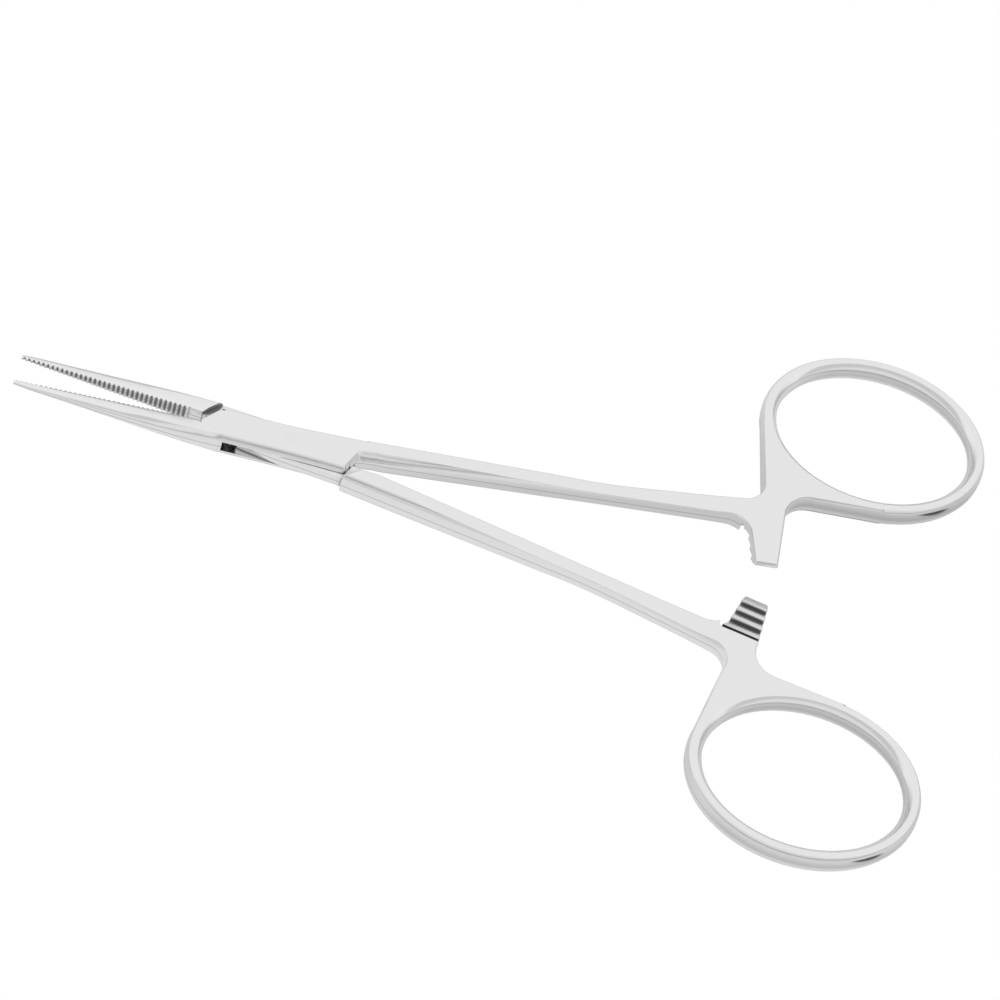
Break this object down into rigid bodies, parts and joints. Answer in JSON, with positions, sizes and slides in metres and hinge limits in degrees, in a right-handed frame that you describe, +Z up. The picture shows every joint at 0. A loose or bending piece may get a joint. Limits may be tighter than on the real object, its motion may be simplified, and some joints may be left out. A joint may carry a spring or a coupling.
{
  "type": "hemostat forceps",
  "caption": "Fine straight locking forceps: two crossed halves joined by a box lock, with serrated jaws, ratchet arms and finger rings, for clamping small vessels or holding small things.",
  "frame": {"origin": "the pivot axis where it meets the underside of the box lock", "axes": "+X along the instrument towards the finger rings, the jaws towards -X; +Y towards the finger ring of the female half; +Z up along the pivot"},
  "size_m": [0.1284, 0.0846, 0.0039],
  "materials": {
    "female_steel": "bright polished stainless steel",
    "male_steel": "bright polished stainless steel",
    "pin_steel": "bright polished stainless steel, ground flush"
  },
  "bodies": {
    "female": {"female_half": "female_steel", "pivot_pin": "pin_steel"},
    "male": {"male_half": "male_steel"}
  },
  "joints": [
    {"name": "box_lock", "type": "hinge", "parent": "female", "child": "male", "pos_m": [0, 0, 0.00195], "axis": [0, 0, -1], "range_deg": [-6.2, 38]}
  ]
}
